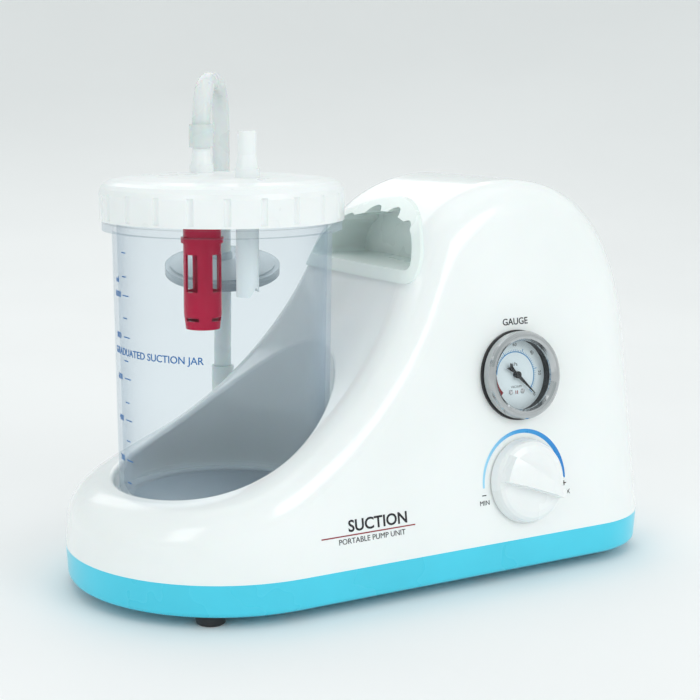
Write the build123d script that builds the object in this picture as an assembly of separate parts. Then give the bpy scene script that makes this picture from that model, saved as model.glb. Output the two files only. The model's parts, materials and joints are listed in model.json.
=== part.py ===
from build123d import *
import math
import os

# Portable suction pump. Millimetres, +Z up, floor at Z = 0, operator stands at -Y.
# +X runs from the jar (left) to the pump dome (right).

# ---- driving dimensions -------------------------------------------------------------
JAR_X = -79.0                # vertical axis of the jar, its cradle and the lid
END_X = 163.4                # outer face of the right end at the seam
HALF_WIDTH = 84.4            # half the width of the body at the seam, and the nose radius
BASE_Z = 5.6                 # underside of the base tray
SEAM_Z = 22.8                # parting line between base tray and upper housing
CROWN_Z = 210.6              # highest point of the dome
SIDE_LEAN = 9.0              # degrees that the front and back faces lean inwards
END_LEAN = 4.0               # degrees that the right end leans inwards
CORNER_R = 50.7              # plan radius of the right-hand corners at the seam
NOSE_LEAD = 16.0             # how far the nose centre moves left from seam to crown height
WALL = 2.6                   # housing and tray wall
EDGE_R = 20.0                # soft edge all round the top surface
RIM_R = 2.4                  # rounded rim of the jar cradle

POCKET_R = 58.5              # cradle bore that holds the jar
JAR_R = 57.1                 # jar outside radius under its flange
JAR_FLOOR_Z = 46.0           # the jar stands at this height in its cradle
JAR_RIM_Z = 207.0
JAR_WALL = 2.4
LID_R = 63.4
LID_SKIRT_Z = 192.9
LID_TOP_Z = 215.5
LID_LOBES = 22
NOZZLE_Y = 26.0              # the two lid nozzles stand at +Y (pump) and -Y (patient)
NOZZLE_X = JAR_X + 1.0
NOZZLE_R = 4.7               # plain top land of a nozzle
NOZZLE_BORE_R = 3.0
PATIENT_NOZZLE_TOP = 238.5
PUMP_NOZZLE_TOP = 232.0

GAUGE_X, GAUGE_Z = 60.1, 108.9
GAUGE_R = 23.4               # outside radius of the bezel
KNOB_X, KNOB_Z = 59.9, 53.2
KNOB_R = 22.6
NEEDLE_ANGLE = -45.0         # the needle rests on zero, at the lower right of the scale
KNOB_ANGLE = -27.0           # the pointer of the knob at rest, at full flow

MOTOR_Y, MOTOR_Z = 14.0, 72.0
TEE_X, TEE_Y, TEE_Z = 4.0, -6.0, 126.0   # tee between pump, gauge and jar
MOTOR_R = 34.0
SHAFT_R = 4.0
RUN = 0.05                   # radial running clearance of shafts and sliding sockets

HOSE_R = 5.0
FILTER_R = 33.5
FILTER_CENTRE = (-37.0, 83.5, 156.0)
FILTER_NORMAL = (-0.1026, -0.2002, 0.9744)
FILTER_PORT = 11.0           # from the filter's mid-plane to the face of each port
ELBOW_X, ELBOW_Y, ELBOW_Z = -34.0, 90.0, 66.0
ELBOW_R = 6.35

# Side profile of the top surface, from the nose over the cradle and the dome to the right end.
TOP_PROFILE = [
    (-179, 52.5), (-141, 55.6), (-115, 60), (-70, 79), (-38, 104.3), (-3, 151),
    (15.6, 185.3), (43, 204.8), (79, CROWN_Z), (114, 200), (138, 168), (152, 123), (168, 50),
]

PROFILE_STEPS = 24           # points used when the profile is moved inwards or outwards

# Centre lines of the two hoses.
UPPER_ROUTE = [
    (-78, 26, 232), (-78, 26, 245), (-74, 31.6, 256.7), (-66.5, 42, 263.5), (-50, 65, 263.5),
    (-42.5, 75.4, 256.7), (-38.5, 81, 245), (-38.2, 81.9, 228), (-39.6, 79.2, 207),
]
LOWER_ROUTE = [(-34, 90, 109), (-34, 90, 92)]


def along(point, direction, distance):
    return tuple(p + d * distance for p, d in zip(point, direction))


UPPER_ROUTE.append(along(FILTER_CENTRE, FILTER_NORMAL, FILTER_PORT + 20))
UPPER_ROUTE.append(along(FILTER_CENTRE, FILTER_NORMAL, FILTER_PORT))
LOWER_ROUTE.insert(0, along(FILTER_CENTRE, FILTER_NORMAL, -FILTER_PORT - 18))
LOWER_ROUTE.insert(0, along(FILTER_CENTRE, FILTER_NORMAL, -FILTER_PORT))

MIN_ALIGN = (Align.CENTER, Align.CENTER, Align.MIN)
NODES = {}


def keep(name, *solids):
    """Store a node as one or more separate solids."""
    NODES[name] = [s for shape in solids for s in shape.solids()]


# ---- small helpers ------------------------------------------------------------------
def rod(radius, low, high, x=0.0, y=0.0):
    return Pos(x, y, low) * Cylinder(radius, high - low, align=MIN_ALIGN)


def ring(outer, inner, low, high, x=0.0, y=0.0):
    return rod(outer, low, high, x, y) - rod(inner, low - 1, high + 1, x, y)


def cone(low_r, high_r, low, high, x=0.0, y=0.0):
    return Pos(x, y, low) * Cone(low_r, high_r, high - low, align=MIN_ALIGN)


def rod_x(radius, low, high, y, z):
    return Pos(low, y, z) * Rot(0, 90, 0) * Cylinder(radius, high - low, align=MIN_ALIGN)


def rod_y(radius, low, high, x, z):
    return Pos(x, low, z) * Rot(-90, 0, 0) * Cylinder(radius, high - low, align=MIN_ALIGN)


def slab(x0, x1, y0, y1, z0, z1):
    size = (x1 - x0, y1 - y0, z1 - z0)
    return Pos((x0 + x1) / 2, (y0 + y1) / 2, (z0 + z1) / 2) * Box(*size)


def lathe(points):
    """Solid of revolution about Z from (radius, height) points."""
    outline = Polyline(*[(r, 0, z) for r, z in points], close=True)
    return revolve(make_face(outline), Axis.Z)


def panel_y(z):
    """Y of the leaning front face at a height."""
    return -(HALF_WIDTH - (z - SEAM_Z) * math.tan(math.radians(SIDE_LEAN)))


def panel_frame(x, z):
    """Frame on the front face: local X to the right, local Y up the face, local Z outwards."""
    lean = math.radians(SIDE_LEAN)
    normal = (0, -math.cos(lean), math.sin(lean))
    return Plane(origin=(x, panel_y(z), z), x_dir=(1, 0, 0), z_dir=normal)


# ---- body shell ---------------------------------------------------------------------
def plan(half_width, end_x, corner, nose_x=JAR_X):
    """Plan outline: a round nose, straight sides and a rounded right end."""
    length = end_x - nose_x
    block = Pos(nose_x + length / 2, 0) * Rectangle(length, 2 * half_width)
    block = fillet(block.vertices().group_by(Axis.X)[-1], corner)
    return block + Pos(nose_x, 0) * Circle(half_width)


def top_curve(inset):
    """Side profile of the top surface, moved inwards by an inset along its normals."""
    curve = Spline(*TOP_PROFILE, tangents=((1, 0.05), (0.12, -1)))
    if inset == 0:
        return curve
    shifted = []
    for step in range(PROFILE_STEPS + 1):
        t = step / PROFILE_STEPS
        tangent = curve % t
        shifted.append(curve @ t + Vector(tangent.Y, -tangent.X) * inset)
    return Spline(*shifted, tangents=(curve % 0, curve % 1))


def top_slab(inset):
    """Everything under the top surface, as a slab across the width."""
    curve = top_curve(inset)
    start, end = curve @ 0, curve @ 1
    floor_end, floor_start = Vector(end.X, 0), Vector(start.X, 0)
    sides = [Line(end, floor_end), Line(floor_end, floor_start), Line(floor_start, start)]
    return extrude(Plane.XZ.offset(-120) * make_face(Wire([curve] + sides)), amount=240)


def body_block(inset, edge_r):
    """The closed outer form of the upper housing, moved inwards by an inset."""
    rise = CROWN_Z + 15 - SEAM_Z
    side_shift = rise * math.tan(math.radians(SIDE_LEAN))
    end_shift = rise * math.tan(math.radians(END_LEAN))
    low = plan(HALF_WIDTH - inset, END_X - inset, CORNER_R - inset)
    high = plan(HALF_WIDTH - inset - side_shift, END_X - inset - end_shift,
                CORNER_R - inset - side_shift * 0.7, JAR_X - NOSE_LEAD)
    block = loft([Pos(0, 0, SEAM_Z) * low, Pos(0, 0, SEAM_Z + rise) * high], ruled=True)
    block = block & top_slab(inset)
    top = [f for f in block.faces() if f.center().Z > 120 and abs(f.center().Y) < 5]
    return fillet(top[0].edges(), edge_r)


# ---- handle -------------------------------------------------------------------------
GRIP_LOW = 159.2             # lower edge of the grip moulding
GRIP_ARCH = [(54.4, 163), (54.1, 167.7), (52.4, 173.7), (47.8, 181.5), (42.4, 187.2), (32.4, 192.8),
             (19.7, 197.2), (0, 200.2)]
MOUTH_LOW = 165.7            # lower edge of the finger opening inside the moulding
MOUTH_ARCH = [(49.6, 168.5), (47.7, 173.3), (42.4, 180.6), (32.7, 186.6), (19, 190.2), (0, 192.6)]
GRIP_BACK_X = 42.0           # back wall of the grip recess
GRIP_WALL = 2.5
GRIP_CORNER, MOUTH_CORNER = 3.6, 2.5
FINGERS = [(9.5, 187.4, 8.0), (28.5, 182.2, 7.6)]    # finger grooves: Y of the centre, its Z, radius


def grip_prism(low, arch, corner, x0, x1):
    """D outline across the body, flat below and arched above, run from one X to another."""
    line = Spline(*arch, *[(-y, z) for y, z in reversed(arch[:-1])])
    side, foot = arch[0]
    wall = FilletPolyline((-side, foot), (-side, low), (side, low), (side, foot), radius=corner)
    frame = Plane(origin=(x0, 0, 0), x_dir=(0, 1, 0), z_dir=(1, 0, 0))
    return extrude(frame * make_face(line + wall), amount=x1 - x0)


def make_handle(raised):
    insert = grip_prism(GRIP_LOW, GRIP_ARCH, GRIP_CORNER, -12, GRIP_BACK_X)
    mouth = grip_prism(MOUTH_LOW, MOUTH_ARCH, MOUTH_CORNER, -15, GRIP_BACK_X - GRIP_WALL)
    for y, z, radius in FINGERS:
        for side in (-1, 1):
            mouth += rod_x(radius, -15, GRIP_BACK_X - GRIP_WALL, side * y, z)
    return (insert - mouth) & raised


# ---- upper housing and base tray ----------------------------------------------------
SCREW_POSTS = [(-156.5, 0), (-79, 76.5), (-79, -76.5), (40, 76.5), (40, -76.5), (155.5, 0)]
FEET = [(-117.8, -60.9), (-117.8, 60.9), (122, -60.9), (122, 60.9)]
VENT_Z = [58 + 7 * i for i in range(6)]
PLATE_LOW, PLATE_HIGH = 33.0, 35.5
DAMPERS = [(28, -12), (28, 40), (118, -12), (118, 40)]
INLET_X, INLET_Z = 112.0, 50.0
SWITCH_X, SWITCH_Z = 76.0, 52.0
FUSE_X, FUSE_Z = 44.0, 52.0


def back_frame(x, z):
    """Frame on the leaning back face: local X to the left, local Y up the face, local Z outwards."""
    lean = math.radians(SIDE_LEAN)
    normal = (0, math.cos(lean), math.sin(lean))
    return Plane(origin=(x, -panel_y(z), z), x_dir=(-1, 0, 0), z_dir=normal)


def on_cradle_bore(edge):
    """True for an edge that lies wholly on the cradle's bore."""
    return all(abs(math.hypot((edge @ t).X - JAR_X, (edge @ t).Y) - POCKET_R) < 0.05
               for t in (0.1, 0.37, 0.6, 0.9)) and edge.length > 60


def make_housing(outer):
    block = outer - rod(POCKET_R, JAR_FLOOR_Z, CROWN_Z, JAR_X)
    rim = [e for e in block.edges() if e.geom_type == GeomType.BSPLINE and on_cradle_bore(e)]
    block = fillet(rim, RIM_R)
    hollow = body_block(WALL, EDGE_R - WALL) - rod(POCKET_R + WALL, JAR_FLOOR_Z - WALL, CROWN_Z, JAR_X)
    housing = block - hollow
    for x, y in SCREW_POSTS:
        housing += (rod(5.4, SEAM_Z, 42, x, y) & outer)
        housing -= rod(1.5, SEAM_Z - 1, 38, x, y)
    housing -= grip_prism(GRIP_LOW, GRIP_ARCH, GRIP_CORNER, -30, GRIP_BACK_X + 10)
    housing -= panel_frame(GAUGE_X, GAUGE_Z) * rod(20.6, -20, 20)
    housing -= panel_frame(KNOB_X, KNOB_Z) * rod(6.1, -20, 20)
    housing -= back_frame(INLET_X, INLET_Z) * slab(-14, 14, -10.2, 10.2, -15, 15)
    housing -= back_frame(SWITCH_X, SWITCH_Z) * slab(-9.6, 9.6, -6.4, 6.4, -15, 15)
    housing -= back_frame(FUSE_X, FUSE_Z) * rod(6.1, -15, 15)
    housing -= rod_y(4.1, 60, 95, ELBOW_X, ELBOW_Z)
    for z in VENT_Z:
        housing -= slab(150, 175, -26, 26, z, z + 2.6)
    return housing


def make_tray():
    depth = SEAM_Z - BASE_Z
    flare = 3.6
    outer = extrude(Pos(0, 0, SEAM_Z) * plan(HALF_WIDTH, END_X, CORNER_R), amount=depth,
                    dir=(0, 0, -1), taper=flare)
    outer = fillet(outer.faces().sort_by(Axis.Z)[0].edges(), 3.0)
    inner_plan = plan(HALF_WIDTH - 4.6, END_X - 4.6, CORNER_R - 4.6)
    inner = extrude(Pos(0, 0, SEAM_Z + 1) * inner_plan, amount=depth + 1 - 2.8,
                    dir=(0, 0, -1), taper=flare)
    tray = outer - inner
    lip_outer = plan(HALF_WIDTH - WALL - 0.6, END_X - WALL - 0.6, CORNER_R - WALL - 0.6)
    lip_inner = plan(HALF_WIDTH - 4.6, END_X - 4.6, CORNER_R - 4.6)
    tray += extrude(Pos(0, 0, SEAM_Z) * (lip_outer - lip_inner), amount=2.4)
    for x, y in SCREW_POSTS:
        tray += rod(5.0, BASE_Z + 1, SEAM_Z, x, y)
        tray -= rod(6.2, SEAM_Z, SEAM_Z + 4, x, y)
        tray -= rod(1.7, 0, SEAM_Z + 1, x, y)
        tray -= rod(3.3, 0, BASE_Z + 4, x, y)
    for x, y in FEET:
        tray += rod(5.5, BASE_Z + 1, BASE_Z + 12, x, y)
        tray -= rod(1.5, BASE_Z - 1, BASE_Z + 10, x, y)
    for x, y in DAMPERS:
        tray += rod(9.0, BASE_Z + 1, 20, x, y)
        tray -= rod(2.0, 12, 21, x, y)
    return tray


def make_screws(places, head_z, head_r, shank_r, length, head_h=2.2):
    """Countersunk-style screws standing head down."""
    screws = []
    for x, y in places:
        body = rod(head_r, head_z, head_z + head_h, x, y) + rod(shank_r, head_z, head_z + length, x, y)
        cross = slab(-head_r * 0.6, head_r * 0.6, -0.4, 0.4, -1, 0.9)
        cross += slab(-0.4, 0.4, -head_r * 0.6, head_r * 0.6, -1, 0.9)
        screws.append(body - Pos(x, y, head_z) * cross)
    return screws


def make_feet():
    feet = []
    for x, y in FEET:
        foot = cone(7.2, 8.0, 0, BASE_Z, x, y)
        foot = fillet(foot.faces().sort_by(Axis.Z)[0].edges(), 1.0)
        foot -= rod(4.2, -1, 2.6, x, y)
        foot -= rod(1.7, -1, BASE_Z + 1, x, y)
        feet.append(foot)
    return feet


# ---- gauge --------------------------------------------------------------------------
def make_gauge():
    at = panel_frame(GAUGE_X, GAUGE_Z)
    case = rod(20.4, -22, 4.6) - rod(19.2, -20.6, 5)
    case += ring(GAUGE_R + 0.6, 20.4, 0.1, 1.6)
    case -= rod(4.0, -30, -15)
    bezel = lathe([(18.2, 5.9), (19.2, 7.6), (20.4, 8.4), (21.6, 8.4), (22.8, 7.6), (GAUGE_R, 6.4),
                   (GAUGE_R, 1.6), (20.45, 1.6), (20.45, 4.6), (18.2, 4.6)])
    lens = rod(19.0, 3.3, 4.5)
    dial = rod(19.1, -2.2, -1.4) - rod(1.5, -3, 0)
    coil = Pos(0, 0, -9) * (Rot(0, 0, 70) * bourdon_tube())
    socket = rod(4.0, -30, -5.2) - rod(1.25, -6.2, -5)
    socket += slab(-4, 4, -11, 0, -20, -7)
    socket += rod(6.5, -26, -22.1)
    keep("gauge_case", at * case)
    keep("gauge_bezel", at * bezel)
    keep("gauge_lens", at * lens)
    keep("gauge_dial", at * dial)
    keep("bourdon_tube", at * coil)
    keep("gauge_socket", at * socket)
    staff = rod(1.1, -5.5, 1.0) + rod(1.9, 0.3, 1.5)
    blade = Polyline((-7.6, 1.9), (-6.4, 0), (-7.6, -1.9), (-3.0, -0.8), (0, -1.0), (15.0, -0.15),
                     (15.0, 0.15), (0, 1.0), (-3.0, 0.8), close=True)
    pointer = extrude(Pos(0, 0, 0.3) * make_face(blade), amount=0.5)
    needle = staff + pointer
    keep("gauge_needle", at * (Rot(0, 0, NEEDLE_ANGLE) * needle))


def polar(radius, degrees):
    return radius * math.cos(math.radians(degrees)), radius * math.sin(math.radians(degrees))


def bourdon_tube():
    """Flat C-shaped pressure tube."""
    arc = CenterArc((0, 0), 14, 0, 250)
    section = Plane(origin=(14, 0, 0), x_dir=(1, 0, 0), z_dir=(0, 1, 0)) * Ellipse(1.2, 3.0)
    return sweep(section, path=arc)


# ---- flow regulator and its knob ----------------------------------------------------
def make_regulator():
    at = panel_frame(KNOB_X, KNOB_Z)
    body = slab(-11, 11, -9, 9, -30, -WALL - 2.2)
    body += rod(6.0, -WALL - 2.2, 3.6)
    body += Pos(0, 0, -20) * Rot(0, 90, 0) * Cylinder(3.4, 34)
    body -= rod(3.0 + RUN, -24, 5)
    nut = extrude(Pos(0, 0, 0.1) * RegularPolygon(8.4, 6), amount=2.9) - rod(6.0, -1, 5)
    stem = rod(3.0, -22, 3.6) + rod(3.0, 3.6, 8.4)
    knob = lathe([(0, 0.9), (0, 9.8), (9, 9.6), (16, 8.9), (19.2, 7.9), (20.9, 6.6), (21.7, 5.0),
                  (KNOB_R, 0.9)])
    knob -= rod(10.2, 0, 4.6)
    grip = Polyline((-19.4, 8.0), (-20.2, 4.0), (-20.6, 0), (-20.2, -4.0), (-19.4, -8.0),
                    (19.2, -3.1), (20.3, 0), (19.2, 3.1), close=True)
    ridge = extrude(Pos(0, 0, 5.5) * make_face(grip), amount=10.5, taper=7)
    dome = Pos(0, 0, -44) * Sphere(60.5)
    ridge = ridge & dome & cone(KNOB_R - 0.4, 18.5, 1, 22)
    knob += Rot(0, 0, KNOB_ANGLE) * ridge
    knob -= rod(3.0, 0, 8.4)
    keep("regulator_body", at * body)
    keep("regulator_nut", at * nut)
    keep("regulator_stem", at * stem)
    keep("regulator_knob", at * knob)


# ---- electric pump ------------------------------------------------------------------
def make_pump():
    y, z = MOTOR_Y, MOTOR_Z
    plate = slab(20, 126, y - 34, y + 34, PLATE_LOW, PLATE_HIGH)
    for px, py in DAMPERS:
        plate -= rod(2.2, 30, 40, px, py)
    dampers = [ring(7.0, 2.2, 20, PLATE_LOW, px, py) for px, py in DAMPERS]
    upturned = make_screws([(px, -py) for px, py in DAMPERS], 0, 3.6, 1.9, 21)
    bolts = [Pos(0, 0, PLATE_HIGH + 2.2) * Rot(180, 0, 0) * bolt for bolt in upturned]
    keep("mount_plate", plate)
    keep("rubber_dampers", *dampers)
    keep("damper_bolts", *bolts)

    core = rod_x(MOTOR_R, 66, 106, y, z) & slab(60, 110, y - 31, y + 31, z - 34, z + 34)
    core += slab(70, 102, y - 24, y + 24, PLATE_HIGH, z - 20)
    core -= rod_x(19.0, 60, 110, y, z)
    coil = rod_x(26, 59, 113, y, z) - rod_x(18.9, 50, 120, y, z)
    core -= rod_x(26, 50, 120, y, z)
    rotor = rod_x(18.4, 66, 106, y, z) - rod_x(SHAFT_R, 60, 110, y, z)
    bells = [rod_x(30, 52, 59, y, z) - rod_x(8, 50, 60, y, z),
             rod_x(30, 113, 120, y, z) - rod_x(8, 110, 124, y, z)]
    bearings = [rod_x(8, 52, 58, y, z) - rod_x(SHAFT_R + RUN, 50, 60, y, z),
                rod_x(8, 114, 120, y, z) - rod_x(SHAFT_R + RUN, 110, 124, y, z)]
    shaft = rod_x(SHAFT_R, 40, 136, y, z)
    disc = rod_x(13, 38, 46, y, z) - rod_x(SHAFT_R, 40, 50, y, z)
    pin = rod_x(2.2, 30, 39, y, z + 2.4)
    fan = rod_x(9, 124, 134, y, z) - rod_x(SHAFT_R, 120, 140, y, z)
    for i in range(7):
        blade = slab(125, 133, -1.0, 1.0, 8, 29)
        blade = Pos(129, 0, 0) * Rot(0, 0, 32) * Pos(-129, 0, 0) * blade
        fan += Pos(0, y, z) * Rot(i * 360 / 7, 0, 0) * blade
    keep("motor_stator", core)
    keep("motor_winding", coil)
    keep("motor_rotor", rotor)
    keep("motor_end_bells", *bells)
    keep("motor_bearings", *bearings)
    keep("motor_shaft", shaft)
    keep("crank_disc", disc + pin)
    keep("cooling_fan", fan)

    crankcase = slab(22, 52, y - 22, y + 22, PLATE_HIGH, 104)
    crankcase -= slab(25, 48, y - 18, y + 18, 44, 101.5)
    crankcase -= rod_x(6, 40, 60, y, z)
    crankcase -= rod(15, 95, 110, 36.5, y)
    rod_link = rod_x(7.5, 31, 36, y, z) - rod_x(5.2, 30, 40, y, z)
    rod_link += slab(31, 36, y - 3.5, y + 3.5, z + 6.0, 100)
    rod_link += rod(8, 100, 102.5, 36, y)
    diaphragm = lathe([(0, 104), (8, 104), (11, 105.4), (14, 104), (18.5, 104), (18.5, 105.8),
                       (14, 105.8), (11, 107.2), (8, 105.8), (0, 105.8)])
    diaphragm = Pos(36.5, y, 0) * diaphragm
    head_low = 105.8
    valve_plate = ring(18.5, 15.5, head_low, head_low + 2.4, 36.5, y)
    valve_plate += rod(18.5, head_low + 2.4, head_low + 4.8, 36.5, y)
    for dx in (-7, 7):
        valve_plate -= rod(1.6, head_low, head_low + 6, 36.5 + dx, y)
    flaps = [rod(3.2, head_low + 4.8, head_low + 5.4, 36.5 + dx, y) for dx in (-7, 7)]
    head = slab(17, 56, y - 19.5, y + 19.5, head_low + 4.8, 126)
    head = fillet(head.edges().filter_by(Axis.Z), 4)
    for dx in (-7, 7):
        head -= rod(5.2, 100, 121, 36.5 + dx, y)
    for dx in (-7, 7):
        head += rod(3.0, 126, 136, 36.5 + dx, y)
        head -= rod(1.6, 119, 140, 36.5 + dx, y)
    cap_screws = [rod(2.6, 126, 129, 36.5 + dx, y + dy) for dx in (-15, 15) for dy in (-15, 15)]
    keep("pump_crankcase", crankcase)
    keep("connecting_rod", rod_link)
    keep("diaphragm", diaphragm)
    keep("valve_plate", valve_plate, *flaps)
    keep("pump_head", head)
    keep("head_screws", *cap_screws)


def hose(points, radius, bore, radii):
    """Tube along straight runs joined by tangent arcs."""
    path = FilletPolyline(*points, radius=radii)
    start = Plane(origin=path @ 0, z_dir=path % 0)
    section = start * (Circle(radius) - Circle(bore))
    return sweep(section, path=path)


def route_radii(points):
    """Arc at each corner of a hose route: 0.45 of the shorter run over the tangent of half the turn."""
    radii = []
    for a, b, c in zip(points, points[1:], points[2:]):
        first, second = Vector(*b) - Vector(*a), Vector(*c) - Vector(*b)
        half_turn = math.radians(first.get_angle(second)) / 2
        radii.append(0.45 * min(first.length, second.length) / math.tan(half_turn))
    return radii


def make_pneumatics():
    """Silencer, tee, internal tubes, capacitor and the hose barb on the back wall."""
    y = MOTOR_Y
    silencer = rod_x(9, 62, 96, y + 22, 142)
    silencer += rod_x(2.8, 55, 62, y + 22, 142)
    for i in range(4):
        silencer -= slab(66 + 7 * i, 69 + 7 * i, y + 12, y + 34, 149, 152)
    tee = rod(3.4, TEE_Z - 8, TEE_Z + 8, TEE_X, TEE_Y) + rod_y(3.1, TEE_Y - 12, TEE_Y, TEE_X, TEE_Z)
    tee -= rod(1.6, TEE_Z - 9, TEE_Z + 9, TEE_X, TEE_Y)
    keep("silencer", silencer)
    keep("tee_connector", tee)
    tubes = [
        [(29.5, y, 136), (29.5, y, 147), (21, 7, 154), (11, -1, 153), (TEE_X, TEE_Y, 145),
         (TEE_X, TEE_Y, TEE_Z + 8)],
        [(43.5, y, 136), (43.5, y, 142), (43.5, y + 9, 147), (44, y + 22, 144),
         (49, y + 22, 142), (55, y + 22, 142)],
        [(TEE_X, TEE_Y - 12, TEE_Z), (TEE_X, -26, TEE_Z), (10, -34, 122), (26, -38, 115), (44, -38, 108),
         gauge_inlet(12), gauge_inlet(0)],
        [(TEE_X, TEE_Y, TEE_Z - 8), (TEE_X, TEE_Y, 107), (1, 2, 96), (-5, 18, 88), (-12, 36, 79),
         (-24, 50, 69), (ELBOW_X, 59, ELBOW_Z), (ELBOW_X, 68, ELBOW_Z)],
    ]
    keep("internal_tubes", *[hose(points, 3.2, 1.6, route_radii(points)) for points in tubes])

    elbow = rod_y(4.0, 68, ELBOW_Y, ELBOW_X, ELBOW_Z)
    elbow += rod_y(7.5, 78.9, 81.5, ELBOW_X, ELBOW_Z)
    elbow += Pos(ELBOW_X, ELBOW_Y, ELBOW_Z) * Sphere(ELBOW_R)
    elbow += rod(ELBOW_R, ELBOW_Z, ELBOW_Z + 5, ELBOW_X, ELBOW_Y)
    elbow += rod(3.0, ELBOW_Z + 5, 90, ELBOW_X, ELBOW_Y)
    elbow -= rod(1.7, ELBOW_Z, 95, ELBOW_X, ELBOW_Y)
    elbow -= rod_y(1.7, 60, ELBOW_Y, ELBOW_X, ELBOW_Z)
    nut = Pos(ELBOW_X, 70.2, ELBOW_Z) * Rot(-90, 0, 0) * extrude(RegularPolygon(8, 6), amount=3)
    nut -= rod_y(4.0, 60, 90, ELBOW_X, ELBOW_Z)
    keep("hose_elbow", elbow)
    keep("elbow_nut", nut)
    capacitor = slab(72, 110, 56, 72, 8.4, 36)
    capacitor = fillet(capacitor.edges().filter_by(Axis.X), 3)
    keep("motor_capacitor", capacitor)


def gauge_inlet(reach):
    """Point on the gauge stem's axis, a reach behind its end."""
    lean = math.radians(SIDE_LEAN)
    depth = 30 + reach
    return (GAUGE_X, panel_y(GAUGE_Z) + depth * math.cos(lean), GAUGE_Z - depth * math.sin(lean))


def make_mains():
    """Mains inlet, fuse holder and rocker switch on the back."""
    inlet = back_frame(INLET_X, INLET_Z)
    shell = slab(-16.5, 16.5, -12.2, 12.2, 0.05, 2.6) + slab(-13.8, 13.8, -10, 10, -22, 0.05)
    mouth = slab(-11.8, 11.8, -8, 8, -16, 3)
    mouth = fillet(mouth.edges().filter_by(Axis.Z), 3)
    pins = [slab(x - 1, x + 1, py - 2, py + 2, -16, -3) for x, py in ((-7, -1.5), (0, 2.5), (7, -1.5))]
    keep("mains_inlet", inlet * (shell - mouth), *[inlet * p for p in pins])

    switch = back_frame(SWITCH_X, SWITCH_Z)
    frame = slab(-11, 11, -7.8, 7.8, 0.05, 2.0) + slab(-9.4, 9.4, -6.2, 6.2, -16, 0.05)
    frame -= slab(-8.4, 8.4, -5.2, 5.2, -9, 3)
    frame -= Pos(0, 0, -1) * Rot(90, 0, 0) * Cylinder(1.25, 12.4)
    rocker = Polyline((-8.1, -0.8), (-8.1, 4.6), (0, 1.9), (8.1, 2.3), (8.1, -0.8), (0, -3.5), close=True)
    rocker = Plane.XZ.offset(-4.9) * make_face(rocker)
    rocker = extrude(rocker, amount=9.8) & Pos(0, 0, -1) * Rot(90, 0, 0) * Cylinder(8.25, 12)
    rocker += Pos(0, 0, -1) * Rot(90, 0, 0) * Cylinder(1.2, 12)
    keep("switch_frame", switch * frame)
    keep("switch_rocker", switch * rocker)

    fuse_at = back_frame(FUSE_X, FUSE_Z)
    holder = rod(8.0, 0.05, 2.2) + rod(6.0, -28, 0.05) - rod(5.0, -26.5, 3)
    link = rod(2.6, -24, -4)
    cap = rod(4.9, -10, 2.4) + rod(6.6, 2.25, 8.5) - rod(2.7, -11, -3.9)
    cap -= slab(-5, 5, -0.6, 0.6, 7, 9)
    keep("fuse_holder", fuse_at * holder)
    keep("fuse_link", fuse_at * link)
    keep("fuse_cap", fuse_at * cap)


# ---- jar, lid and what hangs under it -----------------------------------------------
def make_jar():
    rim, wall = JAR_RIM_Z, JAR_WALL
    outline = [(0, 48.6), (30, 47.8), (48, 46), (51.5, 46), (54.2, 47.6), (55.6, 52), (JAR_R, 185), (JAR_R, 187.8),
               (62.2, 187.8), (62.2, 191.6), (58.6, 191.6), (58.6, 194.5), (59.6, 195.6),
               (59.6, 197.2), (58.6, 198.3), (58.6, 200.5), (59.6, 201.6), (59.6, 203.2), (58.6, 204.3), (58.6, rim),
               (58.6 - 4.0, rim), (JAR_R - wall, 188), (JAR_R - wall, 185), (53.2, 54), (51.4, 50.6),
               (47, 49.4), (30, 50.4), (0, 51.2)]
    keep("jar", Pos(JAR_X, 0) * lathe(outline))
    seal = ring(58.4, 54.8, rim, rim + 2.0, JAR_X)
    keep("lid_seal", seal)


def make_lid():
    top, low = LID_TOP_Z, LID_SKIRT_Z
    outline = [(0, top - 3.2), (0, top), (20, top), (38, top - 0.4), (52, top - 1.5), (58.5, top - 2.6),
               (61.2, top - 4.0), (62.8, top - 6.2), (LID_R, top - 9), (LID_R, low), (60.6, low), (60.6, 198.2), (59.9, 198.8),
               (59.9, 199.6), (60.6, 200.2), (60.6, 209.05), (58.6, 209.05), (54.6, 209.05), (54.4, 211), (40, top - 3.0)]
    lid = Pos(JAR_X, 0) * lathe(outline)
    step = 360 / LID_LOBES
    for i in range(LID_LOBES):
        groove = Pos(*polar(LID_R + 1.0, i * step)) * Cylinder(2.1, 13.2, align=MIN_ALIGN)
        lid -= Pos(JAR_X, 0, low + 1.2) * groove
    for sign, high in ((1, PUMP_NOZZLE_TOP), (-1, PATIENT_NOZZLE_TOP)):
        x, y = NOZZLE_X, sign * NOZZLE_Y
        lid += rod(6.4, top - 2, top + 4.2, x, y)
        lid += cone(5.7, NOZZLE_R, top + 4.2, 226.5, x, y)
        lid += rod(NOZZLE_R, 226.5, high, x, y)
        lid += rod(SPIGOT_R, 206, top - 1, x, y)
        lid -= rod(NOZZLE_BORE_R, 200, 245, x, y)
    keep("lid", lid)


CAGE_R, CAGE_LOW = 10.3, 131.6
SPIGOT_R = 8.2               # spigots under the lid that carry the cage and the dip tube


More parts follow.
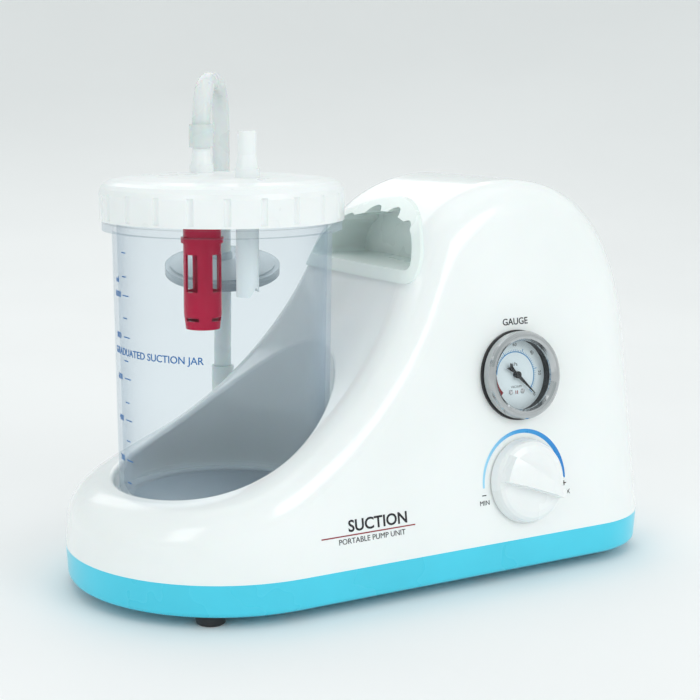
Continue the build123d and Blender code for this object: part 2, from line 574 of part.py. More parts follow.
def make_float_valve():
    x, y = NOZZLE_X, NOZZLE_Y
    bore = CAGE_R - 1.6
    cage = rod(CAGE_R, CAGE_LOW + 8, 212.2, x, y) + cone(CAGE_R - 1.0, CAGE_R, CAGE_LOW, CAGE_LOW + 8, x, y)
    cage += rod(CAGE_R + 1.2, 178, 181, x, y)
    cage -= rod(bore, CAGE_LOW + 8, 205.9, x, y) + cone(bore - 1.4, bore, CAGE_LOW + 1.6, CAGE_LOW + 8, x, y)
    cage -= rod(SPIGOT_R, 205, 213, x, y)
    cage -= rod(3.2, CAGE_LOW - 1, CAGE_LOW + 3, x, y)
    for i in range(4):
        turn = Pos(x, y) * Rot(0, 0, 90 * i + 27)
        cage -= turn * slab(0, 14, -3.8, 3.8, 152, 172)
        cage -= turn * slab(0, 14, -4.2, 4.2, CAGE_LOW + 4.5, CAGE_LOW + 6.5)
    keep("float_cage", cage)
    ball = rod(8.0, 138, 150, x, y)
    ball = fillet(ball.edges(), 2.5)
    keep("float", ball + rod(2.4, 150, 192, x, y))
    keep("float_seal", ring(4.6, 2.4, 189, 192.5, x, y) + rod(4.6, 192, 192.8, x, y))
    keep("dip_tube", ring(5.8, 4.3, 155, 206, x, -y) - Pos(x + 6, -y, 152) * Rot(0, 35, 0) * Box(16, 16, 8))


# ---- hoses and the in-line filter ---------------------------------------------------
def filter_frame():
    return Plane(origin=FILTER_CENTRE, x_dir=(0.97, -0.0, 0.1021), z_dir=FILTER_NORMAL)


def make_filter():
    at = filter_frame()
    half = [(FILTER_R, 0.1), (FILTER_R, 2.4), (30.5, 2.4), (30.5, 3.4), (14, 5.6), (6.0, 6.6),
            (5.5, FILTER_PORT), (2.6, FILTER_PORT), (2.6, 5.2), (13, 4.2), (29, 2.0), (29, 0.3), (31, 0.3), (31, 0.1)]
    upper = lathe(half)
    keep("filter_top", at * upper)
    keep("filter_bottom", at * (Rot(180, 0, 0) * upper))
    keep("filter_membrane", at * rod(30.8, -0.1, 0.1))


def make_hoses():
    for name, points in (("hose_upper", UPPER_ROUTE), ("hose_lower", LOWER_ROUTE)):
        radii = route_radii(points)
        print(name, "arc radii", [round(r, 1) for r in radii])
        tube = hose(points, HOSE_R, 3.0, radii)
        keep(name, tube)
        path = FilletPolyline(*points, radius=radii)
        area = math.pi * (HOSE_R ** 2 - 3.0 ** 2)
        print(name, "length", round(path.length, 1), "volume ratio", round(tube.volume / (area * path.length), 4))
    x, y = NOZZLE_X, NOZZLE_Y
    cuff = rod(6.5, 228.6, 240.6, x, y) - rod(NOZZLE_R + RUN, 220, PUMP_NOZZLE_TOP, x, y)
    cuff -= rod(HOSE_R + 0.2, PUMP_NOZZLE_TOP, 250, x, y)
    keep("hose_cuff", cuff)
    low = rod(6.5, 78, 97, ELBOW_X, ELBOW_Y) - rod(3.0 + RUN, 70, 92, ELBOW_X, ELBOW_Y)
    low -= rod(HOSE_R, 92, 110, ELBOW_X, ELBOW_Y)
    keep("elbow_cuff", low)


def build():
    outer = body_block(0, EDGE_R)
    raised = body_block(-1.4, EDGE_R + 1)
    keep("upper_housing", make_housing(outer))
    keep("base_tray", make_tray())
    keep("handle_insert", make_handle(raised))
    keep("rubber_feet", *make_feet())
    keep("foot_screws", *make_screws(FEET, 0.8, 3.2, 1.5, 14, 1.8))
    keep("housing_screws", *make_screws(SCREW_POSTS, BASE_Z + 0.6, 3.2, 1.45, 26))
    make_gauge()
    make_regulator()
    make_pump()
    make_pneumatics()
    make_mains()
    make_jar()
    make_lid()
    make_float_valve()
    make_filter()
    make_hoses()


if __name__ == "__main__":
    build()
    os.makedirs("parts", exist_ok=True)
    boxes = []
    for name, solids in NODES.items():
        shape = solids[0] if len(solids) == 1 else Compound(children=list(solids))
        export_step(shape, f"parts/{name}.step")
        if name not in ("hose_upper", "hose_lower", "filter_top", "filter_bottom", "filter_membrane",
                        "hose_cuff", "elbow_cuff"):
            boxes.append(shape.bounding_box())
    for axis in "XYZ":
        low = min(getattr(b.min, axis) for b in boxes)
        high = max(getattr(b.max, axis) for b in boxes)
        print(axis, round(low, 2), round(high, 2), "centre", round((low + high) / 2, 3))
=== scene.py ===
import bpy
import bmesh
import json
import math
from mathutils import Matrix, Vector


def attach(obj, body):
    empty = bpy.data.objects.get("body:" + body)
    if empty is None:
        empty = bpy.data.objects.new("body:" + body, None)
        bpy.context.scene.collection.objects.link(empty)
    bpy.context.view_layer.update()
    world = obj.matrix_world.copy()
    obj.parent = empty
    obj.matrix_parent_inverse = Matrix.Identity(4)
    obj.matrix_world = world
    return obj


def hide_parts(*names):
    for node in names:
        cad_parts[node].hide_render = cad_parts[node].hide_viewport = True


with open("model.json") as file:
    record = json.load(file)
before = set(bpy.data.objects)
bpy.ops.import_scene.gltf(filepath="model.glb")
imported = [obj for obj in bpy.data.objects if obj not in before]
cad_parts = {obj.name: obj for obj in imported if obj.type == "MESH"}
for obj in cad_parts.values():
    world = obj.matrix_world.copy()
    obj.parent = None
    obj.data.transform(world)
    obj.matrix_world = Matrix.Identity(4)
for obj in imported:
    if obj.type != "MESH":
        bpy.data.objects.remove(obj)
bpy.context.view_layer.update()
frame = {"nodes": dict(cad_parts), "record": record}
nodes = frame["nodes"]
MM = 0.001

# ---- camera --------------------------------------------------------------------------
CAMERA_AT = (-0.42890, -0.69283, 0.25852)
CAMERA_TURN, CAMERA_DROP = math.radians(29.541), math.radians(9.341)
SENSOR_WIDTH, LENS = 36.0, 76.924
SHIFT = (0.08, -0.02)
camera_data = bpy.data.cameras.new("camera")
camera_data.sensor_width, camera_data.lens = SENSOR_WIDTH, LENS
camera_data.shift_x, camera_data.shift_y = SHIFT
camera_data.clip_start, camera_data.clip_end = 0.01, 50
camera = bpy.data.objects.new("camera", camera_data)
camera.location = CAMERA_AT
camera.rotation_euler = (math.pi / 2 - CAMERA_DROP, 0, -CAMERA_TURN)
bpy.context.collection.objects.link(camera)
bpy.context.scene.camera = camera
bpy.context.scene.view_settings.view_transform = "Standard"

# ---- the vacuum hose -----------------------------------------------------------------
HOSE_R = 0.005
FILTER_PORT_TOP, FILTER_NECK = 0.031, 0.011      # above the filter's middle, along its axis
FILTER_AT = Vector((-0.037, 0.0835, 0.156))
FILTER_UP = Vector((-0.1026, -0.2002, 0.9744))
HOSE_ROUTE = [(-0.078, 0.026, 0.232), (-0.078, 0.026, 0.245), (-0.074, 0.0316, 0.2567),
              (-0.0665, 0.042, 0.2635), (-0.050, 0.065, 0.2635), (-0.0425, 0.0754, 0.2567),
              (-0.0385, 0.081, 0.245), (-0.0382, 0.0819, 0.228), (-0.0396, 0.0792, 0.207),
              tuple(FILTER_AT + FILTER_UP * FILTER_PORT_TOP),
              tuple(FILTER_AT + FILTER_UP * FILTER_NECK)]


def hose_piece(name, route):
    curve = bpy.data.curves.new(name, "CURVE")
    curve.dimensions = "3D"
    spline = curve.splines.new("NURBS")
    spline.points.add(len(route) - 1)
    for point, place in zip(spline.points, route):
        point.co = (*place, 1)
        point.radius = HOSE_R
    spline.order_u = 3
    spline.use_endpoint_u = True
    spline.resolution_u = 24
    curve.bevel_depth = 1.0
    curve.bevel_resolution = 8
    piece = bpy.data.objects.new(name, curve)
    bpy.context.collection.objects.link(piece)
    return piece


hose = hose_piece("vacuum_hose", HOSE_ROUTE)
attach(hose, "hose_set")
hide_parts("hose_upper")


# ---- materials -----------------------------------------------------------------------
def nodes_of(material):
    material.use_nodes = True
    tree = material.node_tree
    tree.nodes.clear()
    shader = tree.nodes.new("ShaderNodeBsdfPrincipled")
    out = tree.nodes.new("ShaderNodeOutputMaterial")
    tree.links.new(shader.outputs["BSDF"], out.inputs["Surface"])
    return tree, shader


def place(tree, stretch=(1, 1, 1)):
    coordinates = tree.nodes.new("ShaderNodeTexCoord")
    mapping = tree.nodes.new("ShaderNodeMapping")
    mapping.inputs["Scale"].default_value = stretch
    tree.links.new(coordinates.outputs["Object"], mapping.inputs["Vector"])
    return mapping.outputs["Vector"]


def noise(tree, vector, scale, detail=3.0):
    node = tree.nodes.new("ShaderNodeTexNoise")
    node.inputs["Scale"].default_value = scale
    node.inputs["Detail"].default_value = detail
    tree.links.new(vector, node.inputs["Vector"])
    return node.outputs["Fac"]


def ramp(tree, value, stops):
    node = tree.nodes.new("ShaderNodeValToRGB")
    while len(node.color_ramp.elements) < len(stops):
        node.color_ramp.elements.new(0.5)
    for element, (at, colour) in zip(node.color_ramp.elements, stops):
        element.position = at
        element.color = (*colour, 1)
    tree.links.new(value, node.inputs["Fac"])
    return node.outputs["Color"]


def span(tree, value, low, high):
    node = tree.nodes.new("ShaderNodeMapRange")
    node.inputs["From Min"].default_value = 0.3
    node.inputs["From Max"].default_value = 0.7
    node.inputs["To Min"].default_value = low
    node.inputs["To Max"].default_value = high
    tree.links.new(value, node.inputs["Value"])
    return node.outputs["Result"]


def bump(tree, shader, height, depth):
    node = tree.nodes.new("ShaderNodeBump")
    node.inputs["Strength"].default_value = 1.0
    node.inputs["Distance"].default_value = depth
    tree.links.new(height, node.inputs["Height"])
    tree.links.new(node.outputs["Normal"], shader.inputs["Normal"])


def mix_heights(tree, first, second, share):
    node = tree.nodes.new("ShaderNodeMix")
    node.data_type = "FLOAT"
    node.inputs["Factor"].default_value = share
    tree.links.new(first, node.inputs["A"])
    tree.links.new(second, node.inputs["B"])
    return node.outputs["Result"]


COAT_ROUGH, UNDER_SCALE = 0.08, 0.004


def surface(name, light, dark, rough, grain=60, grain_depth=2e-5, fine=900, stretch=(1, 1, 1),
            metal=0.0, coat=0.0, sheen=0.0, through=0.0, ior=1.46, alpha=1.0, under=0.0, shine=0.5):
    """A material whose colour, gloss and relief vary a little over the surface."""
    material = bpy.data.materials.new(name)
    tree, shader = nodes_of(material)
    vector = place(tree, stretch)
    broad, small = noise(tree, vector, grain), noise(tree, vector, fine, 2.0)
    tree.links.new(ramp(tree, broad, [(0.32, dark), (0.62, light)]), shader.inputs["Base Color"])
    tree.links.new(span(tree, broad, rough[0], rough[1]), shader.inputs["Roughness"])
    bump(tree, shader, mix_heights(tree, broad, small, 0.5), grain_depth)
    values = {"Metallic": metal, "Coat Weight": coat, "Coat Roughness": COAT_ROUGH,
              "Sheen Weight": sheen, "Transmission Weight": through, "IOR": ior, "Alpha": alpha,
              "Subsurface Weight": under, "Subsurface Scale": UNDER_SCALE,
              "Specular IOR Level": shine}
    for socket, value in values.items():
        shader.inputs[socket].default_value = value
    return material


def clear(name, seen_through, body, ior):
    """Clear plastic or glass: light goes straight through, tinted, with more gloss at the edges."""
    material = bpy.data.materials.new(name)
    tree, shader = nodes_of(material)
    vector = place(tree)
    broad = noise(tree, vector, 18)
    tree.links.new(ramp(tree, broad, [(0.3, tint(body, 0.9)), (0.7, body)]),
                   shader.inputs["Base Color"])
    tree.links.new(span(tree, broad, 0.02, 0.06), shader.inputs["Roughness"])
    bump(tree, shader, noise(tree, vector, 120), 4e-6)
    shader.inputs["IOR"].default_value = ior
    edge = tree.nodes.new("ShaderNodeLayerWeight")
    edge.inputs["Blend"].default_value = 0.5
    sharper = tree.nodes.new("ShaderNodeMath")
    sharper.operation = "POWER"
    sharper.inputs[1].default_value = 3.0
    share = tree.nodes.new("ShaderNodeMapRange")
    share.inputs["To Min"].default_value, share.inputs["To Max"].default_value = 0.012, 0.5
    open_shader = tree.nodes.new("ShaderNodeBsdfTransparent")
    open_shader.inputs["Color"].default_value = (*seen_through, 1)
    mixed = tree.nodes.new("ShaderNodeMixShader")
    tree.links.new(edge.outputs["Facing"], sharper.inputs[0])
    tree.links.new(sharper.outputs["Value"], share.inputs["Value"])
    tree.links.new(share.outputs["Result"], mixed.inputs["Fac"])
    tree.links.new(open_shader.outputs["BSDF"], mixed.inputs[1])
    tree.links.new(shader.outputs["BSDF"], mixed.inputs[2])
    tree.links.new(mixed.outputs["Shader"], tree.nodes["Material Output"].inputs["Surface"])
    return material


def tint(colour, factor):
    return tuple(c * factor for c in colour)


WHITE, SHELL_SHADE = (0.90, 0.93, 0.925), (0.865, 0.90, 0.893)
CYAN = (0.06, 0.66, 0.86)
CRIMSON = (0.60, 0.0, 0.045)
PRINT_BLUE, PRINT_INK, PRINT_RED = (0.02, 0.16, 0.44), (0.012, 0.012, 0.018), (0.30, 0.01, 0.02)

looks = {
    "white_shell": surface("white_shell", WHITE, SHELL_SHADE, (0.16, 0.24), 14, 1.5e-5, 500,
                           coat=0.6, under=0.05),
    "blue_tray": surface("blue_tray", CYAN, tint(CYAN, 0.93), (0.24, 0.34), 18, 1.5e-5, 700,
                         coat=0.3),
    "handle_white": surface("handle_white", (0.83, 0.91, 0.885), (0.79, 0.875, 0.85), (0.24, 0.34),
                            22, 2e-5, 700, coat=0.3, under=0.05),
    "black_rubber": surface("black_rubber", (0.022, 0.022, 0.024), (0.012, 0.012, 0.013),
                            (0.55, 0.8), 150, 6e-5, 1800, sheen=0.2),
    "steel": surface("steel", (0.62, 0.63, 0.65), (0.5, 0.51, 0.53), (0.22, 0.4), 60, 1e-5, 1400,
                     (1, 1, 12), metal=1.0),
    "chrome": surface("chrome", (0.55, 0.57, 0.58), (0.48, 0.50, 0.51), (0.05, 0.12), 40, 4e-6,
                      900, metal=1.0),
    "gauge_black": surface("gauge_black", (0.022, 0.022, 0.025), (0.014, 0.014, 0.016),
                           (0.35, 0.5), 60, 1e-5, 1500),
    "dial_white": surface("dial_white", (0.86, 0.95, 0.99), (0.82, 0.925, 0.97), (0.3, 0.42), 60,
                          4e-6, 1500),
    "needle_black": surface("needle_black", (0.014, 0.014, 0.016), (0.009, 0.009, 0.01),
                            (0.25, 0.4), 90, 3e-6, 1500),
    "lens_glass": clear("lens_glass", (0.985, 0.99, 0.99), (0.7, 0.75, 0.78), 1.5),
    "brass": surface("brass", (0.72, 0.52, 0.22), (0.58, 0.40, 0.16), (0.24, 0.42), 70, 1e-5, 1300,
                     metal=1.0),
    "knob_white": surface("knob_white", (0.90, 0.925, 0.925), (0.865, 0.895, 0.895), (0.22, 0.32),
                          30, 1.5e-5, 900, coat=0.35, under=0.05),
    "laminations": surface("laminations", (0.30, 0.30, 0.32), (0.14, 0.14, 0.15), (0.4, 0.6), 30,
                           5e-5, 900, (60, 1, 1), metal=0.9),
    "copper_winding": surface("copper_winding", (0.62, 0.22, 0.09), (0.35, 0.11, 0.05),
                              (0.25, 0.4), 24, 2e-4, 500, (1, 40, 40), metal=0.7, coat=0.5),
    "die_cast": surface("die_cast", (0.60, 0.61, 0.63), (0.48, 0.49, 0.51), (0.42, 0.62), 120,
                        8e-5, 1500, metal=0.9),
    "black_plastic": surface("black_plastic", (0.024, 0.024, 0.026), (0.015, 0.015, 0.017),
                             (0.38, 0.55), 90, 4e-5, 1800),
    "rocker_red": surface("rocker_red", (0.60, 0.018, 0.015), (0.52, 0.014, 0.012), (0.2, 0.3), 40,
                          1e-5, 900, coat=0.3),
    "tube_silicone": surface("tube_silicone", (0.80, 0.85, 0.845), (0.74, 0.80, 0.795),
                             (0.22, 0.34), 40, 2e-5, 900, under=0.35, alpha=0.86),
    "grey_plastic": surface("grey_plastic", (0.46, 0.48, 0.50), (0.40, 0.42, 0.44), (0.4, 0.55),
                            70, 3e-5, 1500),
    "clear_jar": clear("clear_jar", (0.962, 0.978, 0.988), (0.50, 0.62, 0.74), 1.47),
    "lid_white": surface("lid_white", (0.88, 0.91, 0.91), (0.84, 0.875, 0.875), (0.26, 0.36), 30,
                         2e-5, 900, coat=0.25, under=0.08),
    "seal_silicone": surface("seal_silicone", (0.74, 0.74, 0.70), (0.66, 0.66, 0.62), (0.5, 0.65),
                             60, 4e-5, 1200),
    "cage_red": surface("cage_red", CRIMSON, tint(CRIMSON, 0.85), (0.14, 0.24), 40, 1e-5, 700,
                        coat=0.08, shine=0.22),
    "float_white": surface("float_white", (0.84, 0.83, 0.80), (0.76, 0.75, 0.72), (0.45, 0.6), 90,
                           4e-5, 1200),
    "filter_shell": surface("filter_shell", (0.80, 0.86, 0.885), (0.74, 0.81, 0.84), (0.14, 0.24),
                            40, 1e-5, 600, through=0.55, ior=1.3),
    "filter_paper": surface("filter_paper", (0.90, 0.90, 0.87), (0.78, 0.78, 0.75), (0.7, 0.9),
                            300, 1e-4, 2500, sheen=0.4),
}
record_slots = {part["node"]: part["material_slot"] for part in frame["record"]["subparts"]}
for node, piece in nodes.items():
    piece.data.materials.clear()
    piece.data.materials.append(looks[record_slots[node]])
hose.data.materials.append(looks["tube_silicone"])

print_blue = surface("print_blue", PRINT_BLUE, tint(PRINT_BLUE, 0.85), (0.3, 0.45), 300, 2e-6, 3000)
print_ink = surface("print_ink", PRINT_INK, tint(PRINT_INK, 0.8), (0.3, 0.45), 300, 2e-6, 3000)
print_red = surface("print_red", PRINT_RED, tint(PRINT_RED, 0.85), (0.3, 0.45), 300, 2e-6, 3000)

# ---- mesh helpers --------------------------------------------------------------------
LEAN = math.radians(9)
FACE_FOOT_Y, FACE_FOOT_Z = 84.4, 22.8


def face_frame(x, z, side=-1):
    """Axes on the leaning front (side -1) or back (side 1) face: X along, Y up, Z out of it."""
    depth = FACE_FOOT_Y - (z - FACE_FOOT_Z) * math.tan(LEAN)
    out = Vector((0, side * math.cos(LEAN), math.sin(LEAN)))
    along = Vector((-side, 0, 0))
    turn = Matrix((along, out.cross(along), out)).transposed().to_4x4()
    return Matrix.Translation(Vector((x, side * depth, z)) * MM) @ turn @ Matrix.Scale(MM, 4)


def mesh_piece(name, verts, faces, material, body):
    mesh = bpy.data.meshes.new(name)
    mesh.from_pydata([tuple(v) for v in verts], [], faces)
    mesh.materials.append(material)
    mesh.update()
    piece = bpy.data.objects.new(name, mesh)
    bpy.context.collection.objects.link(piece)
    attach(piece, body)
    return piece


def strip(verts, faces, inner, outer, low, high, bend):
    """Adds a thin raised band between two lines of (u, v); bend turns (u, v, h) into a place."""
    start, n = len(verts), len(inner)
    for ring, h in ((inner, high), (outer, high), (outer, low), (inner, low)):
        verts.extend(bend(u, v, h) for u, v in ring)
    for k in range(4):
        a, b = start + k * n, start + (k + 1) % 4 * n
        faces.extend((a + i, a + i + 1, b + i + 1, b + i) for i in range(n - 1))
    faces.append(tuple(start + k * n for k in range(4)))
    faces.append(tuple(start + k * n + n - 1 for k in (3, 2, 1, 0)))


def arc_points(radius, start, end, steps):
    angles = [math.radians(start + (end - start) * i / steps) for i in range(steps + 1)]
    return [(radius * math.cos(angle), radius * math.sin(angle)) for angle in angles]


def arc_band(verts, faces, radii, start, end, heights, bend, steps=48):
    inner, outer = radii
    strip(verts, faces, arc_points(inner, start, end, steps), arc_points(outer, start, end, steps),
          *heights, bend)


def bar(verts, faces, box, heights, bend, steps=1):
    u0, v0, u1, v1 = box
    low = [(u0 + (u1 - u0) * i / steps, v0) for i in range(steps + 1)]
    high = [(u0 + (u1 - u0) * i / steps, v1) for i in range(steps + 1)]
    strip(verts, faces, low, high, *heights, bend)


def radial_bar(verts, faces, angle, r0, r1, width, heights, bend):
    c, s = math.cos(math.radians(angle)), math.sin(math.radians(angle))
    half = width / 2
    low = [(r0 * c + half * s, r0 * s - half * c), (r1 * c + half * s, r1 * s - half * c)]
    high = [(r0 * c - half * s, r0 * s + half * c), (r1 * c - half * s, r1 * s + half * c)]
    strip(verts, faces, low, high, *heights, bend)


def lettering(name, text, size, centre, heights, bend, material, body, bold=0.0, turn=0.0,
              fine=False):
    """Raised printed letters: size and centre in mm, bend turns (u, v, h) into a place."""
    curve = bpy.data.curves.new(name, "FONT")
    curve.body, curve.size = text, size
    curve.align_x, curve.align_y = "CENTER", "CENTER"
    curve.extrude, curve.offset = 0.5, bold
    curve.resolution_u = 4
    shape = bpy.data.objects.new(name + "_text", curve)
    bpy.context.collection.objects.link(shape)
    shown = shape.evaluated_get(bpy.context.evaluated_depsgraph_get())
    mesh = bpy.data.meshes.new_from_object(shown)
    bpy.data.objects.remove(shape)
    if fine:
        work = bmesh.new()
        work.from_mesh(mesh)
        long_edges = [e for e in work.edges if e.calc_length() > size * 0.35]
        bmesh.ops.subdivide_edges(work, edges=long_edges, cuts=2)
        work.to_mesh(mesh)
        work.free()
    c, s = math.cos(turn), math.sin(turn)
    for vertex in mesh.vertices:
        u, v, h = vertex.co
        vertex.co = bend(centre[0] + u * c - v * s, centre[1] + u * s + v * c,
                         heights[1] if h > 0 else heights[0])
    mesh.materials.clear()
    mesh.materials.append(material)
    piece = bpy.data.objects.new(name, mesh)
    bpy.context.collection.objects.link(piece)
    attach(piece, body)
    return piece


def flat_on(frame_matrix):
    return lambda u, v, h: frame_matrix @ Vector((u, v, h))


INK = (-0.05, 0.12)       # a print's underside and top above the surface, mm
gauge_at, knob_at = face_frame(60.1, 108.9), face_frame(59.9, 53.2)

# ---- gauge print ---------------------------------------------------------------------
DIAL_TOP = -1.4
DIAL_INK = (DIAL_TOP - 0.02, DIAL_TOP + 0.06)
DIAL_FROM, DIAL_SWEEP, TICKS = -45, 220, 44      # the scale's first angle and its turn, degrees
DIAL_NUMBERS = ("0", "20", "40", "60", "80", "100")
TICKS_A_NUMBER, NUMBER_RADIUS = 11, 16.1
on_gauge = flat_on(gauge_at)
blue_light = surface("scale_blue", (0.04, 0.30, 0.62), (0.035, 0.26, 0.56), (0.3, 0.45), 300,
                     2e-6, 3000)
verts, faces = [], []
arc_band(verts, faces, (12.0, 12.5), DIAL_FROM, DIAL_FROM + DIAL_SWEEP, DIAL_INK, on_gauge, 90)
for i in range(TICKS + 1):
    tick = DIAL_FROM + DIAL_SWEEP * i / TICKS
    tick_end, width = (14.6, 0.34) if i % TICKS_A_NUMBER == 0 else (13.5, 0.2)
    radial_bar(verts, faces, tick, 12.4, tick_end, width, DIAL_INK, on_gauge)
mesh_piece("dial_scale", verts, faces, blue_light, "housing")
verts, faces = [], []
arc_band(verts, faces, (12.4, 14.4), 178, 225, DIAL_INK, on_gauge, 24)
for dx in (-0.55, 0.55):
    radial_bar(verts, faces, 270, 8.4, 10.2, 0.5, DIAL_INK,
               lambda u, v, h, d=dx: gauge_at @ Vector((u + d, v, h)))
mesh_piece("dial_danger_arc", verts, faces, print_red, "housing")
for i, number in enumerate(DIAL_NUMBERS):
    angle = math.radians(DIAL_FROM + DIAL_SWEEP * i / (len(DIAL_NUMBERS) - 1))
    spot = (NUMBER_RADIUS * math.cos(angle), NUMBER_RADIUS * math.sin(angle))
    lettering(f"dial_number_{i}", number, 2.6, spot, DIAL_INK, on_gauge, print_ink, "housing",
              turn=angle - math.pi / 2)
lettering("dial_unit", "kPa", 2.6, (0, 5.6), DIAL_INK, on_gauge, print_ink, "housing")
lettering("dial_word", "VACUUM", 1.7, (0, -6.4), DIAL_INK, on_gauge, print_ink, "housing")


def screw_head(name, matrix, radius, height, material, body, turn=0.0):
    """A slotted pan head: a domed disc with a slot cut across it, on a face."""
    work = bmesh.new()
    steps, rings = 32, ((1.0, 0), (1.0, 0.45), (0.92, 0.75), (0.72, 0.95), (0.4, 1.0))
    angles = [2 * math.pi * i / steps for i in range(steps)]
    loops = []
    for share, level in rings:
        loops.append([work.verts.new((radius * share * math.cos(angle),
                                      radius * share * math.sin(angle), height * level))
                      for angle in angles])
    for low, high in zip(loops, loops[1:]):
        for i in range(steps):
            work.faces.new((low[i], low[(i + 1) % steps], high[(i + 1) % steps], high[i]))
    centre = work.verts.new((0, 0, height))
    for i in range(steps):
        work.faces.new((loops[-1][i], loops[-1][(i + 1) % steps], centre))
    for vertex in work.verts:
        if abs(vertex.co.y) < radius * 0.16 and vertex.co.z > height * 0.3:
            vertex.co.z -= height * 0.45
    mesh = bpy.data.meshes.new(name)
    work.to_mesh(mesh)
    work.free()
    mesh.transform(matrix @ Matrix.Rotation(turn, 4, "Z"))
    mesh.materials.append(material)
    for polygon in mesh.polygons:
        polygon.use_smooth = True
    piece = bpy.data.objects.new(name, mesh)
    bpy.context.collection.objects.link(piece)
    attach(piece, body)
    return piece


for i, dx in enumerate((-3.9, 3.9)):
    screw_head(f"dial_screw_{i}", gauge_at @ Matrix.Translation((dx, -9.0, DIAL_TOP)), 1.3, 0.6,
               looks["steel"], "housing", 0.5 + i)

# ---- knob print and panel words ------------------------------------------------------
on_knob = flat_on(knob_at)
ARC_START, ARC_END, ARC_OUT = -4.0, 182.0, 27.4
crescent = bpy.data.materials.new("crescent_blue")
tree, shader = nodes_of(crescent)
vector = place(tree)
split = tree.nodes.new("ShaderNodeSeparateXYZ")
tree.links.new(vector, split.inputs["Vector"])
across = tree.nodes.new("ShaderNodeMapRange")
across.inputs["From Min"].default_value, across.inputs["From Max"].default_value = 0.032, 0.088
tree.links.new(split.outputs["X"], across.inputs["Value"])
shade = ramp(tree, across.outputs["Result"], [(0.0, (0.36, 0.72, 0.93)), (0.45, (0.05, 0.38, 0.80)),
                                              (1.0, (0.012, 0.22, 0.62))])
tree.links.new(shade, shader.inputs["Base Color"])
tree.links.new(span(tree, noise(tree, vector, 300), 0.25, 0.4), shader.inputs["Roughness"])
verts, faces = [], []
inner, outer = [], []
for i in range(97):
    share = i / 96
    angle = math.radians(ARC_START + (ARC_END - ARC_START) * share)
    thick = 3.1 - 2.0 * share
    thick *= min(1.0, share * 24 + 0.2)
    outer.append((ARC_OUT * math.cos(angle), ARC_OUT * math.sin(angle)))
    inner.append(((ARC_OUT - thick) * math.cos(angle), (ARC_OUT - thick) * math.sin(angle)))
strip(verts, faces, inner, outer, *INK, on_knob)
mesh_piece("flow_crescent", verts, faces, crescent, "housing")
verts, faces = [], []
bar(verts, faces, (-28.3, -5.0, -25.7, -4.5), INK, on_knob)
bar(verts, faces, (25.0, -5.0, 27.8, -4.5), INK, on_knob)
bar(verts, faces, (26.15, -6.1, 26.65, -3.4), INK, on_knob)
mesh_piece("flow_signs", verts, faces, print_ink, "housing")
lettering("word_min", "MIN", 3.6, (-27, -8.8), INK, on_knob, print_ink, "housing")
lettering("word_max", "MAX", 3.6, (26.2, -9.8), INK, on_knob, print_ink, "housing")
lettering("word_gauge", "GAUGE", 5.0, (1.3, 28.3), INK, on_gauge, print_ink, "housing", 0.05)
plate_at = face_frame(-40, 40.5)
on_plate = flat_on(plate_at)
lettering("word_suction", "SUCTION", 8.2, (6.5, 3.6), INK, on_plate, print_ink, "housing", 0.16)
lettering("word_portable", "PORTABLE PUMP UNIT", 3.9, (2.5, -3.6), INK, on_plate, print_ink,
          "housing")
verts, faces = [], []
bar(verts, faces, (-27.0, -0.95, 28.5, -0.35), INK, on_plate)
mesh_piece("plate_line", verts, faces, print_red, "housing")

# ---- jar print -----------------------------------------------------------------------
JAR_X = -79.0
JAR_FOOT_Z, JAR_FOOT_R = 52, 55.6
JAR_WALL_TALL, JAR_WALL_FLARE, JAR_MIDDLE_R = 133, 1.5, 56.6


def on_jar(u, v, h):
    """u runs round the jar from its -X side as seen from outside, in mm; v is the height."""
    radius = JAR_FOOT_R + (v - JAR_FOOT_Z) / JAR_WALL_TALL * JAR_WALL_FLARE
    angle = math.pi + u / JAR_MIDDLE_R
    return Vector((JAR_X + (radius + h) * math.cos(angle), (radius + h) * math.sin(angle), v)) * MM


MARKS = ((178.2, 0), (166.1, 0), (156.5, "1000"), (145.0, 0), (135.3, "800"), (123.1, 0),
         (113.9, "600"), (101.5, 0), (92.3, "400"), (81.4, 0), (71.2, "200"), (59.4, 0))
verts, faces = [], []
for height, number in MARKS:
    reach = 6.4 if number else 4.2
    bar(verts, faces, (0.6, height - 0.3, 0.6 + reach, height + 0.3), INK, on_jar, 6)
    if number:
        lettering(f"jar_number_{number}", number, 4.4, (-6.0, height), INK, on_jar, print_blue,
                  "jar", 0.03, fine=True)
mesh_piece("jar_scale", verts, faces, print_blue, "jar")
lettering("jar_unit", "ml", 4.4, (-6.0, 164.0), INK, on_jar, print_blue, "jar", 0.03, fine=True)
lettering("jar_word", "GRADUATED SUCTION JAR", 5.2, (20.5, 127.4), INK, on_jar, print_blue, "jar",
          0.05, fine=True)

# ---- back: rating plate with plain lines for text ------------------------------------
rating = face_frame(-8, 46, 1)
on_rating = flat_on(rating)
verts, faces = [], []
bar(verts, faces, (-22, -11, 22, 11), (-0.02, 0.18), on_rating, 4)
plate_silver = surface("plate_silver", (0.66, 0.67, 0.69), (0.58, 0.59, 0.61), (0.3, 0.45), 30,
                       4e-6, 900, (40, 1, 1), metal=0.8)
mesh_piece("rating_plate", verts, faces, plate_silver, "housing")
verts, faces = [], []
for row, length in enumerate((34, 38, 30, 36, 24)):
    bar(verts, faces, (-19, 7.2 - 3.7 * row, -19 + length, 7.6 - 3.7 * row), (0.16, 0.24),
        on_rating, 2)
mesh_piece("rating_lines", verts, faces, print_ink, "housing")

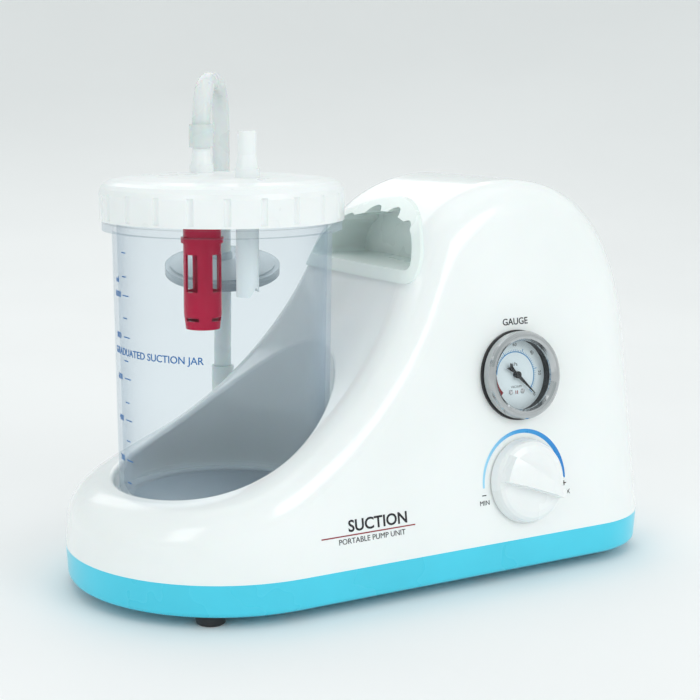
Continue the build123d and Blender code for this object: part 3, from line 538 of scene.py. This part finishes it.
# ---- floor and light -----------------------------------------------------------------
FLAT, EDGE, RISE = 0.75, 3.4, 1.5        # metres: flat out to FLAT, then up to RISE at EDGE
SIDES, RINGS = 96, 24
work = bmesh.new()
rings = []
for step in range(RINGS + 1):
    radius = FLAT + (EDGE - FLAT) * step / RINGS
    height = RISE * ((radius - FLAT) / (EDGE - FLAT)) ** 3
    rings.append([work.verts.new((radius * math.cos(2 * math.pi * i / SIDES),
                                  radius * math.sin(2 * math.pi * i / SIDES), height))
                  for i in range(SIDES)])
work.faces.new(rings[0])
for low, high in zip(rings, rings[1:]):
    for i in range(SIDES):
        work.faces.new((low[i], low[(i + 1) % SIDES], high[(i + 1) % SIDES], high[i]))
mesh = bpy.data.meshes.new("floor")
work.to_mesh(mesh)
work.free()
for polygon in mesh.polygons:
    polygon.use_smooth = len(polygon.vertices) == 4
floor = bpy.data.objects.new("floor", mesh)
bpy.context.collection.objects.link(floor)
mesh.materials.append(surface("floor_paper", (0.91, 0.915, 0.915), (0.895, 0.90, 0.90), (0.6, 0.75),
                              3, 1e-6, 60))

world = bpy.data.worlds.new("world")
bpy.context.scene.world = world
world.use_nodes = True
tree = world.node_tree
direction = tree.nodes.new("ShaderNodeTexCoord")
towards = tree.nodes.new("ShaderNodeVectorMath")
towards.operation = "DOT_PRODUCT"
towards.inputs[1].default_value = (0.62, 0.78, 0.1)
tree.links.new(direction.outputs["Generated"], towards.inputs[0])
level = tree.nodes.new("ShaderNodeMapRange")
level.inputs["From Min"].default_value, level.inputs["From Max"].default_value = -0.8, 0.35
tree.links.new(towards.outputs["Value"], level.inputs["Value"])
sky = ramp(tree, level.outputs["Result"], [(0.0, (0.62, 0.68, 0.68)), (1.0, (0.97, 1.0, 1.0))])
tree.links.new(sky, tree.nodes["Background"].inputs["Color"])
tree.nodes["Background"].inputs["Strength"].default_value = 0.90


def soft_light(name, place_at, target, size, power, colour=(1, 1, 1)):
    data = bpy.data.lights.new(name, "AREA")
    data.shape, data.size, data.size_y = "RECTANGLE", size[0], size[1]
    data.energy, data.color = power, colour
    lamp = bpy.data.objects.new(name, data)
    lamp.location = place_at
    lamp.rotation_euler = (Vector(target) - Vector(place_at)).to_track_quat("-Z", "Y").to_euler()
    bpy.context.collection.objects.link(lamp)


soft_light("key", (0.5, -1.5, 1.0), (0.0, 0, 0.1), (0.9, 0.8), 6.0, (1.0, 0.985, 0.985))
soft_light("side", (-1.3, -0.7, 0.8), (0, 0, 0.1), (0.5, 0.9), 2.5)
soft_light("rim", (0.3, 1.5, 1.2), (0, 0, 0.12), (1.6, 0.8), 3)
soft_light("top", (0.1, 0.1, 2.0), (0, 0, 0), (1.6, 1.6), 3.5)

bpy.context.view_layer.update()
